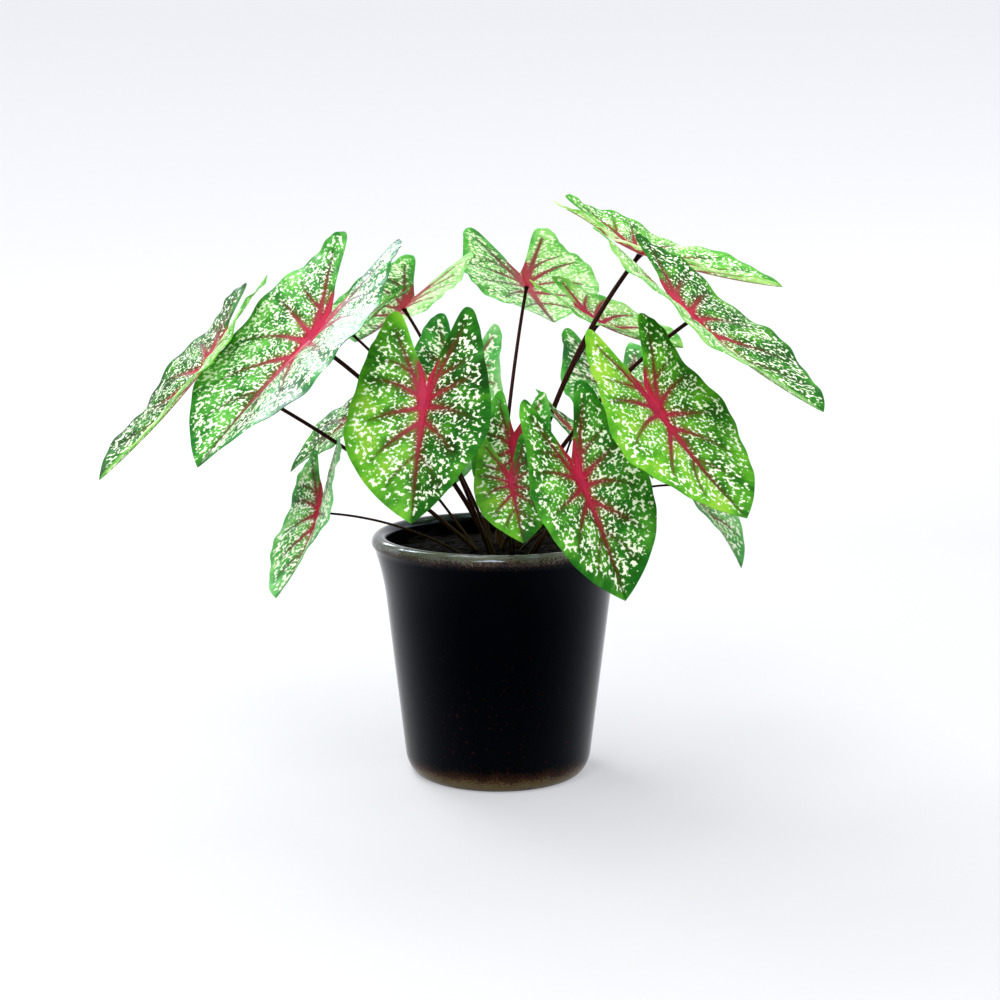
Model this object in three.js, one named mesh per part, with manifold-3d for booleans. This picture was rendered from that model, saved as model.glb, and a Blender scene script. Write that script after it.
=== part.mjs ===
// A caladium growing from its tuber in a round glazed pot.
// Millimetres, +Z up; the origin is the centre of the pot's flat foot.
import * as THREE from 'three';
import { mergeVertices } from 'three/addons/utils/BufferGeometryUtils.js';
import Module from 'manifold-3d';

const wasm = await Module();
wasm.setup();

// Driving dimensions: the pot is a "6 inch" one, 160 mm over its rolled lip.
const POT_HEIGHT = 154;
const RIM_RADIUS = 80;
const LIP_RADIUS = 5;
const POT_WALL = 8;
const POT_FLOOR = 10;
const FOOT_HEIGHT = 13;
const POT_SIDES = 44;
const SOIL_LEVEL = 141;
const SOIL_CROWN = 2;
const TUBER_RADIUS = 30;
const TUBER_HEIGHT = 30;
const TUBER_TOP = 131;
const BLADE_THICKNESS = 0.8;
const GAP = 0.3;

// How finely the plant is faceted.
const PETIOLE_SIDES = 6;
const PETIOLE_STEPS = 9;
const BLADE_STEPS = 3;

const glaze = new THREE.MeshStandardMaterial({ color: 0x12151c, roughness: 0.15, metalness: 0 });
const soilMatter = new THREE.MeshStandardMaterial({ color: 0x17120e, roughness: 1, metalness: 0 });
const tuberSkin = new THREE.MeshStandardMaterial({ color: 0x5b4430, roughness: 0.9, metalness: 0 });
const leafGreen = { color: 0x3f9430, roughness: 0.4, metalness: 0 };
const stalkMaroon = { color: 0x2b1612, roughness: 0.45, metalness: 0 };

const radians = THREE.MathUtils.degToRad;
const vector = (x, y, z) => new THREE.Vector3(x, y, z);

// ---------- solids ----------

// The closed body of a geometry, with the vertices that its faces share merged into one.
function solid(geometry) {
  const bare = geometry.clone();
  bare.deleteAttribute('normal');
  bare.deleteAttribute('uv');
  const merged = mergeVertices(bare, 1e-3);
  const index = merged.index.array;
  const corners = [];
  for (let i = 0; i < index.length; i += 3) {
    const [a, b, c] = [index[i], index[i + 1], index[i + 2]];
    if (a !== b && b !== c && c !== a) corners.push(a, b, c);
  }
  const vertProperties = new Float32Array(merged.attributes.position.array);
  const triVerts = new Uint32Array(corners);
  return new wasm.Manifold(new wasm.Mesh({ numProp: 3, vertProperties, triVerts }));
}

function geometryOf(body) {
  const mesh = body.getMesh();
  const geometry = new THREE.BufferGeometry();
  geometry.setAttribute('position', new THREE.BufferAttribute(mesh.vertProperties, 3));
  geometry.setIndex(new THREE.BufferAttribute(mesh.triVerts, 1));
  geometry.computeVertexNormals();
  return geometry;
}

function node(name, body, material) {
  const mesh = new THREE.Mesh(geometryOf(body), material);
  mesh.name = name;
  return mesh;
}

// A profile of [radius, height] points turned round the upright axis.
function turned(profile, sides) {
  const points = profile.map(([radius, height]) => new THREE.Vector2(radius, height));
  const lathe = new THREE.LatheGeometry(points, sides);
  lathe.rotateX(Math.PI / 2);
  return solid(lathe);
}

// ---------- pot ----------

// The side leans out evenly, flares towards the rim and tucks in above the flat foot.
function potRadius(height) {
  const flare = Math.max(0, (height - 112) / 38);
  const tuck = Math.max(0, 1 - height / FOOT_HEIGHT);
  return 57.9 + 0.115 * height + 4.6 * flare ** 2 - 7 * (1 - Math.sqrt(1 - tuck ** 2));
}

const innerRadius = (height) => Math.min(potRadius(height), RIM_RADIUS - 2) - POT_WALL;

function pot() {
  const lipCentre = [RIM_RADIUS - LIP_RADIUS, POT_HEIGHT - LIP_RADIUS];
  const profile = [[0, 0]];
  for (const height of [0, 2, 6, FOOT_HEIGHT, 50, 112, 124, 134, 144]) {
    profile.push([potRadius(height), height]);
  }
  for (let turn = 0; turn <= 6; turn += 1) {
    const angle = (Math.PI * turn) / 6;
    const reach = LIP_RADIUS * Math.cos(angle);
    profile.push([lipCentre[0] + reach, lipCentre[1] + LIP_RADIUS * Math.sin(angle)]);
  }
  for (const height of [140, 115, 70, 24, 14]) {
    profile.push([innerRadius(height), height]);
  }
  profile.push([innerRadius(14) - 5, POT_FLOOR], [0, POT_FLOOR]);
  return turned(profile, POT_SIDES);
}

// ---------- tuber and soil ----------

// A flattened round tuber, grown by a margin where it makes room for itself.
function tuber(margin) {
  const profile = [];
  for (let turn = 0; turn <= 8; turn += 1) {
    const angle = (Math.PI * turn) / 8 - Math.PI / 2;
    const radius = (TUBER_RADIUS + margin) * Math.cos(angle);
    const height = (TUBER_HEIGHT / 2 + margin) * Math.sin(angle);
    profile.push([Math.max(radius, 0), TUBER_TOP - TUBER_HEIGHT / 2 + height]);
  }
  return turned(profile, 20);
}

const tuberSurface = (radius) => TUBER_TOP
  - (TUBER_HEIGHT / 2) * (1 - Math.sqrt(1 - (radius / TUBER_RADIUS) ** 2));

function soil() {
  const bed = POT_FLOOR + GAP;
  const profile = [[0, bed], [innerRadius(14) - 5 - GAP, bed]];
  for (const height of [14, 24, 70, 115, SOIL_LEVEL - 1]) {
    profile.push([innerRadius(height) - GAP, height + (height < 20 ? GAP : 0)]);
  }
  profile.push([48, SOIL_LEVEL + 0.4], [24, SOIL_LEVEL + SOIL_CROWN - 0.5], [0, SOIL_LEVEL + SOIL_CROWN]);
  return turned(profile, POT_SIDES);
}

// ---------- leaf blade ----------

// Outline of the right half of a flat blade. Lengths are parts of its front, which runs
// from the petiole (0, 0) to the tip (1, 0); the two basal lobes lie behind the petiole.
const LOBE_END = [-0.81, 0.28];
const WAIST = [-0.42, 0.46];
const WIDEST = [0.12, 0.575];
const TIP = [1, 0];
const SINUS = [-0.24, 0];

const curve = (...points) => new THREE.CubicBezierCurve(...points.map((p) => new THREE.Vector2(...p)));
const lobeMargin = curve(LOBE_END, [-0.8, 0.38], [-0.66, 0.39], WAIST);
const sideMargin = curve(WAIST, [-0.26, 0.505], [-0.08, 0.575], WIDEST);
const frontMargin = curve(WIDEST, [0.42, 0.6], [0.8, 0.36], TIP);
const sinusEdge = curve(LOBE_END, [-0.8, 0.205], [-0.52, 0.16], SINUS);

// Rows across the blade, from the lobe's end (0) past the sinus and the widest place to
// the tip (1).
const AT_SINUS = 0.36;
const AT_WIDEST = 0.56;
const LOBE_ROWS = 5;
const SIDE_ROWS = 3;
const FRONT_ROWS = 6;
function stretch(from, to, count) {
  return Array.from({ length: count }, (_, i) => from + ((to - from) * i) / count);
}
const rows = [
  ...stretch(0, AT_SINUS, LOBE_ROWS),
  ...stretch(AT_SINUS, AT_WIDEST, SIDE_ROWS),
  ...stretch(AT_WIDEST, 1, FRONT_ROWS),
  1,
];

// Both ends of a row: the sinus edge or the midrib, and the margin.
function rowEnds(t) {
  if (t < AT_SINUS) return [sinusEdge.getPoint(t / AT_SINUS), lobeMargin.getPoint(t / AT_SINUS)];
  const forward = (t - AT_SINUS) / (1 - AT_SINUS);
  const midrib = new THREE.Vector2(SINUS[0] + (1 - SINUS[0]) * forward, 0);
  if (t < AT_WIDEST) return [midrib, sideMargin.getPoint((t - AT_SINUS) / (AT_WIDEST - AT_SINUS))];
  return [midrib, frontMargin.getPoint((t - AT_WIDEST) / (1 - AT_WIDEST))];
}

// A point of the blade: the halves fold up from the midrib and arch over, the front bends
// down, the lobes lift, and the margin waves.
function bladePoint(leaf, side, t, across) {
  const [inner, margin] = rowEnds(t);
  const flat = inner.lerp(margin, across);
  const x = flat.x < 0 ? flat.x * leaf.lobe : flat.x;
  const breadth = flat.y * leaf.width;
  const behind = Math.max(-x, 0);
  const wave = Math.sin(Math.PI * t) * Math.sin(2 * Math.PI * leaf.waves * t + leaf.phase + 2 * side);
  const height = breadth * Math.sin(leaf.fold) - 0.25 * breadth ** 2
    - (x > 0 ? leaf.bend * x ** 2 : 0)
    + (leaf.lift * behind ** 2) / (behind + 0.15)
    + 0.028 * across ** 2 * wave;
  return vector(x, side * breadth * Math.cos(leaf.fold), height).multiplyScalar(leaf.front);
}

// The blade as a closed sheet, with alike triangles on its upper and under faces.
function blade(leaf) {
  const positions = [];
  const triangles = [];
  const corner = (point, under) => {
    positions.push(point.x, point.y, point.z - (under ? BLADE_THICKNESS : 0));
    return positions.length / 3 - 1;
  };
  const face = (a, b, c, flipped) => triangles.push(a, ...(flipped ? [c, b] : [b, c]));
  for (const side of [1, -1]) {
    const grids = [false, true].map((under) => rows.map((t) => {
      const row = [];
      for (let step = 0; step <= BLADE_STEPS; step += 1) {
        row.push(corner(bladePoint(leaf, side, t, step / BLADE_STEPS), under));
      }
      return row;
    }));
    const mirrored = side > 0;
    for (let i = 0; i + 1 < rows.length; i += 1) {
      for (let j = 0; j < BLADE_STEPS; j += 1) {
        grids.forEach((grid, under) => {
          const [a, b, c, d] = [grid[i][j], grid[i + 1][j], grid[i + 1][j + 1], grid[i][j + 1]];
          const flipped = (under === 1) === mirrored;
          face(a, b, c, flipped);
          face(a, c, d, flipped);
        });
      }
      const rims = [[BLADE_STEPS, mirrored]];
      if (i < LOBE_ROWS) rims.push([0, !mirrored]);
      for (const [j, flipped] of rims) {
        const [a, b] = [grids[0][i][j], grids[0][i + 1][j]];
        const [c, d] = [grids[1][i + 1][j], grids[1][i][j]];
        face(a, b, c, !flipped);
        face(a, c, d, !flipped);
      }
    }
  }
  const geometry = new THREE.BufferGeometry();
  geometry.setAttribute('position', new THREE.Float32BufferAttribute(positions, 3));
  geometry.setIndex(triangles);
  return solid(geometry);
}

// ---------- petiole ----------

const bladeTurn = (leaf) => new THREE.Euler(leaf.roll, leaf.droop, leaf.azimuth, 'ZYX');

// The stalk's centre line rises from the tuber in one upright plane and bows over.
function petiolePath(leaf) {
  const [x, y] = leaf.root;
  const foot = vector(x, y, tuberSurface(Math.hypot(x, y)) - 3);
  const top = vector(...leaf.at);
  const span = top.clone().sub(foot);
  const outward = vector(span.x, span.y, 0).normalize();
  const slope = Math.atan2(span.z, Math.hypot(span.x, span.y));
  const heading = (angle) => outward.clone().multiplyScalar(Math.cos(angle))
    .add(vector(0, 0, Math.sin(angle)));
  const low = foot.clone().addScaledVector(heading(slope + leaf.bow), span.length() / 3);
  const high = top.clone().addScaledVector(heading(slope - leaf.bow), -span.length() / 3);
  return new THREE.CubicBezierCurve3(foot, low, high, top);
}

// A cylinder bent along the path, thickest at the foot.
function petioleTube(leaf, margin) {
  const path = petiolePath(leaf);
  const tube = new THREE.CylinderGeometry(
    leaf.stalk + margin, 1.35 * leaf.stalk + margin, 1, PETIOLE_SIDES, PETIOLE_STEPS,
  );
  const frames = path.computeFrenetFrames(PETIOLE_STEPS);
  const position = tube.attributes.position;
  for (let i = 0; i < position.count; i += 1) {
    const ring = Math.round((position.getY(i) + 0.5) * PETIOLE_STEPS);
    const point = path.getPointAt(ring / PETIOLE_STEPS)
      .addScaledVector(frames.normals[ring], position.getX(i))
      .addScaledVector(frames.binormals[ring], -position.getZ(i));
    position.setXYZ(i, point.x, point.y, point.z);
  }
  return solid(tube);
}

// The stalk stops just clear of the tuber below and of the blade's under face above.
function petiole(leaf) {
  const up = vector(0, 0, 1).applyEuler(bladeTurn(leaf));
  const under = vector(...leaf.at).dot(up) - BLADE_THICKNESS - GAP;
  return petioleTube(leaf, 0).subtract(tuber(GAP)).trimByPlane(up.negate().toArray(), -under);
}

// ---------- the leaves ----------

// Each leaf has the place of its petiole's top, the way its tip points (azimuth), how far the
// tip drops (droop), its sideways lean (roll), the length of its front, and where its stalk
// leaves the tuber. Angles in degrees, lengths in millimetres; shape factors have no unit.
const leafDefaults = {
  droop: 40, roll: 0, fold: 18, bend: 0.05, lift: 0.15, width: 1, lobe: 1, bow: 8, stalk: 1.2,
  waves: 3,
};

const leafPlan = {
  far_left: {
    at: [-181.5, -19, 261], azimuth: 212.5, droop: 49, roll: 13, front: 93.5, fold: 15.5,
    bend: -0.1, lift: 0.01, width: 0.98, lobe: 0.85, root: [3, -6], bow: 9, stalk: 1.3,
  },
  high_left: {
    at: [-112, -62, 281.5], azimuth: 216, droop: 39.5, roll: -4, front: 102,
    bend: 0.06, lift: 0.19, width: 1.03, lobe: 0.87, root: [4, -13], bow: 17, stalk: 1.5,
  },
  front_left: {
    at: [-43, -92, 246], azimuth: 256, droop: 60, roll: 10, front: 71,
    bend: 0.08, lift: 0.05, width: 1.18, root: [0, -17],
  },
  back_left: {
    at: [-62, 53.5, 292.5], azimuth: 121, droop: 28, roll: -0.5, front: 74, fold: 24.5,
    bend: -0.11, lift: 0, width: 1.07, lobe: 1.03, root: [-3, 11], bow: 17,
  },
  left: {
    at: [-92, -12, 282], azimuth: 188, droop: 26, front: 55, fold: 15,
    bend: 0.13, root: [0, 6], bow: 17, stalk: 1,
  },
  low_left: {
    at: [-89, 33.5, 227], azimuth: 177.5, droop: 38, roll: -12.5, front: 60.5, fold: 13.5,
    lift: 0.21, width: 1.04, root: [-5, 6], bow: 7, stalk: 0.9,
  },
  hanging_left: {
    at: [-108, -65.5, 178], azimuth: 249.5, droop: 56, roll: 39.5, front: 59.5, fold: 20.5,
    bend: -0.21, lift: 0.01, width: 1.02, lobe: 0.92, root: [-5, -4], bow: 16, stalk: 0.8,
  },
  inner_left: {
    at: [-27, 24, 238.5], azimuth: 211.5, droop: 73, roll: -23.5, front: 62, fold: 24,
    bend: 0.22, lift: 0, width: 1.31, lobe: 0.97, root: [5, 6],
  },
  back: {
    at: [19.5, 122, 303], azimuth: 75.5, droop: 23, front: 89,
    bend: -0.04, lift: 0.11, width: 0.94, lobe: 1.01, root: [-2, 16], bow: 14, stalk: 1.3,
  },
  back_right: {
    at: [66, 65.5, 281.5], azimuth: -26, droop: 24, roll: 1, front: 59.5, fold: 22,
    bend: -0.19, lift: 0.07, width: 1.12, lobe: 1.03, root: [3, 11], bow: 14, stalk: 1,
  },
  high_right: {
    at: [91, 29, 329], azimuth: -10.5, droop: 20, roll: 3, front: 90,
    bend: -0.12, width: 0.97, lobe: 0.84, root: [11, 4], bow: 18, stalk: 1.7,
  },
  right: {
    at: [113, -88, 296], azimuth: -39, droop: 36, roll: -8, front: 97,
    bend: -0.12, lift: 0, width: 0.93, lobe: 0.95, root: [-4, 1], bow: 16, stalk: 1.4,
  },
  front_right: {
    at: [91, -124.5, 246], azimuth: -35, droop: 49.5, roll: 14, front: 78.5, fold: 11,
    bend: -0.11, lift: 0.17, lobe: 0.89, root: [11, -5], stalk: 1.3,
  },
  front_low: {
    at: [48, -120.5, 204], azimuth: -35.5, droop: 61, roll: 32.5, front: 69.5, fold: 23.5,
    bend: 0.15, lift: 0.13, width: 0.97, lobe: 0.98, root: [13, -17],
  },
  small_front: {
    at: [8, -78, 197], azimuth: -74.5, droop: 47.5, roll: 6, front: 39, fold: 8,
    bend: 0.06, width: 1.04, root: [11, -10], bow: -17, stalk: 0.8,
  },
  small_behind: {
    at: [9, -50.5, 214.5], azimuth: -85.5, droop: 79, roll: -19, front: 44, fold: 11,
    lift: 0.45, width: 1.1, lobe: 0.94, root: [7, -9], stalk: 0.8,
  },
  small_right: {
    at: [47, -9.5, 219.5], azimuth: 3, droop: 31.5, roll: 9.5, front: 34.5, fold: 10,
    bend: 0.13, lift: 0.26, width: 1.03, lobe: 1.19, root: [19, 4], bow: 2, stalk: 0.8,
  },
  inner_right: {
    at: [84.5, 85, 224.5], azimuth: -74, droop: 30.5, roll: -15.5, front: 71, fold: 17.5,
    bend: 0.07, lift: 0.04, width: 1.29, lobe: 1.22, root: [9, 10],
  },
  low_right: {
    at: [111, -35, 190], azimuth: -31, droop: 32, roll: -9.5, front: 61.5, fold: 21,
    bend: 0.27, lift: 0.22, width: 1.02, root: [2, 1], bow: 26, stalk: 0.8,
  },
};

const leaves = Object.entries(leafPlan).map(([name, plan], index) => {
  const leaf = { name, phase: 1.7 * index, ...leafDefaults, ...plan };
  for (const angle of ['azimuth', 'droop', 'roll', 'fold', 'bow']) leaf[angle] = radians(leaf[angle]);
  return leaf;
});

// ---------- assembly ----------

const group = new THREE.Group();
group.add(node('pot', pot(), glaze));

let bed = soil().subtract(tuber(GAP));
for (const leaf of leaves) bed = bed.subtract(petioleTube(leaf, GAP));
group.add(node('soil', bed, soilMatter));
group.add(node('tuber', tuber(0), tuberSkin));

for (const leaf of leaves) {
  const leafBlade = node(`blade_${leaf.name}`, blade(leaf), new THREE.MeshStandardMaterial(leafGreen));
  leafBlade.position.set(...leaf.at);
  leafBlade.rotation.copy(bladeTurn(leaf));
  const stalk = node(`petiole_${leaf.name}`, petiole(leaf), new THREE.MeshStandardMaterial(stalkMaroon));
  group.add(leafBlade, stalk);
}

export default group;
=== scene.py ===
"""A caladium growing from its tuber in a round, dark glazed pot."""
import math

import bpy
import numpy as np
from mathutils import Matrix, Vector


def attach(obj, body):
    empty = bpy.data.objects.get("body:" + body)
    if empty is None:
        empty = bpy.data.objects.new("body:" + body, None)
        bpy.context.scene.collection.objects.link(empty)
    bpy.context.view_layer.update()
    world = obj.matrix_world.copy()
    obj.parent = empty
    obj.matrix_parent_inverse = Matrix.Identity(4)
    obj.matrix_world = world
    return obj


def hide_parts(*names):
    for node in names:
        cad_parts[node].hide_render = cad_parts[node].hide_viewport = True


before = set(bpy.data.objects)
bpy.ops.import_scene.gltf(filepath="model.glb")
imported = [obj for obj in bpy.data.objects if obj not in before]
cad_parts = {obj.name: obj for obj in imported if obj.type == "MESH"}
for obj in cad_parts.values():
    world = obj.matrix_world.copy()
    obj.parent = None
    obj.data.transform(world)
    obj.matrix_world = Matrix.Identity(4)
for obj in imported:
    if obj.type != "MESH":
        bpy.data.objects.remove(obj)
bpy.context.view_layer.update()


# ---------------------------------------------------------------- studio
# A white sheet hung behind the plant and run forward over the table, so that it shows no
# corner, under large soft lamps. The main lamp stands behind the plant and to its left.

def linear(hex_colour):
    """An sRGB hex colour as linear red, green, blue and alpha.

    Each channel c becomes c/12.92 up to 0.04045, and ((c + 0.055)/1.055)^2.4 above it.
    """
    channels = [int(hex_colour[i:i + 2], 16) / 255 for i in (1, 3, 5)]
    return [c / 12.92 if c <= 0.04045 else ((c + 0.055) / 1.055) ** 2.4 for c in channels] + [1.0]


def add_node(tree, kind, inputs=None, **settings):
    """Adds one shader node with its settings, and fills its inputs with values or nodes' outputs."""
    made = tree.nodes.new("ShaderNode" + kind)
    for name, value in settings.items():
        setattr(made, name, value)
    for socket, value in (inputs or {}).items():
        if isinstance(value, bpy.types.NodeSocket):
            tree.links.new(value, made.inputs[socket])
        else:
            made.inputs[socket].default_value = value
    return made


def new_material(name):
    """An empty node material and the output node that its shader goes to."""
    material = bpy.data.materials.new(name)
    material.use_nodes = True
    material.node_tree.nodes.clear()
    return material, material.node_tree, add_node(material.node_tree, "OutputMaterial")


def set_stops(ramp_node, stops):
    """Fills a colour ramp with (position, sRGB hex) stops."""
    ramp = ramp_node.color_ramp
    while len(ramp.elements) < len(stops):
        ramp.elements.new(0.5)
    for element, (position, colour) in zip(ramp.elements, stops):
        element.position = position
        element.color = linear(colour)


def piece(name, points, faces, material):
    """A smooth mesh object at the origin, from arrays of points and of corner numbers."""
    mesh = bpy.data.meshes.new(name)
    mesh.from_pydata(points.tolist(), [], faces.tolist())
    mesh.materials.append(material)
    mesh.shade_smooth()
    made = bpy.data.objects.new(name, mesh)
    bpy.context.scene.collection.objects.link(made)
    return made


def grid_faces(rows, columns, closed=False):
    """Four corner numbers for each cell of a grid, whose last column meets its first if closed."""
    numbers = np.arange(rows * columns).reshape(rows, columns)
    if closed:
        numbers = np.hstack([numbers, numbers[:, :1]])
    cells = [numbers[:-1, :-1], numbers[:-1, 1:], numbers[1:, 1:], numbers[1:, :-1]]
    return np.stack(cells, -1).reshape(-1, 4)


# Matt white sheet with a faint glow, painted light that stands in for the lamps' light on it
# and lightens its shadows. The glow grows over 1.6 m of the way back, up to where the sheet
# turns up, and fades a little as it rises.
paper, paper_tree, paper_out = new_material("matt_white_backdrop_sheet")
paper_place = add_node(paper_tree, "TexCoord").outputs["Object"]
paper_depth = add_node(paper_tree, "SeparateXYZ", {0: paper_place}).outputs
paper_far = add_node(paper_tree, "MapRange", {0: paper_depth[1], 1: 0.8, 2: 2.4, 3: 0.43, 4: 0.78})
paper_high = add_node(paper_tree, "MapRange", {0: paper_depth[2], 1: 0.1, 2: 0.75, 3: 0.78, 4: 0.70})
paper_glow = add_node(paper_tree, "Math", {
    0: paper_far.outputs[0], 1: paper_high.outputs[0]}, operation="MINIMUM")
paper_shader = add_node(paper_tree, "BsdfPrincipled", {
    "Base Color": linear("#7F807F"), "Roughness": 0.9, "Specular IOR Level": 0.1,
    "Emission Color": linear("#F7F7FE"), "Emission Strength": paper_glow.outputs[0]})
paper_tree.links.new(paper_shader.outputs[0], paper_out.inputs[0])

# The sheet's side view: flat over the table, a quarter circle of 1.2 m, then straight up.
SWEEP_RADIUS = 1.2
SWEEP_START = 2.6
SHEET_REACH = 6.0
turn = np.linspace(0, math.pi / 2, 24)
sheet_y = np.concatenate([
    [-SHEET_REACH], SWEEP_START + SWEEP_RADIUS * np.sin(turn), [SWEEP_START + SWEEP_RADIUS]])
sheet_z = np.concatenate([[0.0], SWEEP_RADIUS * (1 - np.cos(turn)), [SHEET_REACH]])
sheet_x = np.array([-SHEET_REACH, SHEET_REACH])
sheet_points = np.stack([
    np.repeat(sheet_x[None, :], len(sheet_y), 0),
    np.repeat(sheet_y[:, None], 2, 1),
    np.repeat(sheet_z[:, None], 2, 1)], -1).reshape(-1, 3)
backdrop = piece("backdrop", sheet_points, grid_faces(len(sheet_y), 2), paper)


def lamp(name, place, target, size, power, colour):
    """A square soft box turned to face a target, with its side in metres and its power in watts."""
    light = bpy.data.lights.new(name, "AREA")
    light.shape = "SQUARE"
    light.size = size
    light.energy = power
    light.color = linear(colour)[:3]
    made = bpy.data.objects.new(name, light)
    made.location = place
    aim = Vector(target) - Vector(place)
    made.rotation_euler = aim.to_track_quat("-Z", "Y").to_euler()
    bpy.context.scene.collection.objects.link(made)
    return made


lamp("key_softbox", (-0.80, 0.95, 1.75), (0, 0, 0.1), 1.0, 34, "#FFFEFA")
lamp("rear_left_softbox", (-0.95, 1.5, 1.45), (0, 0, 0.25), 0.9, 36, "#EEF4FF")
lamp("front_softbox", (-0.25, -1.35, 1.65), (0, 0, 0.2), 0.9, 32, "#FFFFFF")

# The air of the studio: a soft glow that is strongest above and behind the plant.
world = bpy.data.worlds.new("studio_air")
world.use_nodes = True
world_tree = world.node_tree
world_tree.nodes.clear()
toward = add_node(world_tree, "TexCoord").outputs["Generated"]
brighter = add_node(world_tree, "VectorMath", {
    0: toward, 1: (0.0, 0.45, 0.75)}, operation="DOT_PRODUCT")
strength = add_node(world_tree, "MapRange", {
    0: brighter.outputs["Value"], 1: -0.3, 2: 0.75, 3: 0.02, 4: 2.6})
world_light = add_node(world_tree, "Background", {
    "Color": linear("#F6F7FB"), "Strength": strength.outputs[0]})
add_node(world_tree, "OutputWorld", {0: world_light.outputs[0]})
bpy.context.scene.world = world
bpy.context.scene.view_settings.view_transform = "Standard"

camera_data = bpy.data.cameras.new("camera")
camera_data.lens = 70
camera_data.sensor_width = 36
camera = bpy.data.objects.new("camera", camera_data)
camera.location = (0.0011, -1.208, 0.379)
camera.rotation_euler = (math.radians(90 - 9.6), 0, 0)
bpy.context.scene.collection.objects.link(camera)
bpy.context.scene.camera = camera


# ---------------------------------------------------------------- pot
# A thrown stoneware pot with a rolled lip, 160 mm over the lip, dipped in one dark glaze. The
# glaze runs thin over lip and foot in firing and breaks there to olive, past a rust brown line.
POT_HEIGHT = 0.154
RIM_RADIUS = 0.080
LIP_RADIUS = 0.005
LIP_START = -0.25
POT_WALL = 0.008
POT_FLOOR = 0.010
FLOOR_CORNER = 0.004
FOOT_HEIGHT = 0.013
FOOT_RADIUS = 0.0579
FOOT_TUCK = 0.007
WALL_SLOPE = 0.115
WALL_ENDS = (0.016, 0.146)
INSIDE_ENDS = (0.144, 0.014)
POT_SIDES = 160
FLARE_START = 0.112
FLARE_HEIGHT = 0.038
FLARE_WIDTH = 0.0046


def pot_radius(height):
    """Outer radius: the foot's, plus the slope times the height, plus the flare, less the tuck.

    The flare grows with the square of the height above its start. The tuck is a quarter circle
    over the height of the foot.
    """
    flare = np.maximum(0, (height - FLARE_START) / FLARE_HEIGHT)
    tuck = np.maximum(0, 1 - height / FOOT_HEIGHT)
    return (FOOT_RADIUS + WALL_SLOPE * height + FLARE_WIDTH * flare ** 2
            - FOOT_TUCK * (1 - np.sqrt(1 - tuck ** 2)))


def inner_radius(height):
    """The wall's thickness inside the outer radius, which here stays 2 mm inside the lip."""
    return np.minimum(pot_radius(height), RIM_RADIUS - 0.002) - POT_WALL


def turned(radius, height, sides):
    """A profile turned round the upright axis: x = r cos a and y = r sin a at each height.

    Each end is closed by triangles to one point on the axis.
    """
    angle = np.linspace(0, 2 * math.pi, sides, endpoint=False)
    r, a = np.meshgrid(radius, angle, indexing="ij")
    z = np.repeat(height[:, None], sides, 1)
    points = np.stack([r * np.cos(a), r * np.sin(a), z], -1).reshape(-1, 3)
    ends = np.array([[0, 0, height[0]], [0, 0, height[-1]]])
    ring = np.arange(sides)
    last = len(points) - sides
    first_cap = np.stack([np.roll(ring, -1), ring, np.full(sides, len(points))], -1)
    last_cap = np.stack([last + ring, last + np.roll(ring, -1), np.full(sides, len(points) + 1)], -1)
    wall = grid_faces(len(radius), sides, closed=True)
    faces = wall.tolist() + first_cap.tolist() + last_cap.tolist()
    return np.vstack([points, ends]), np.array(faces, dtype=object)


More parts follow.
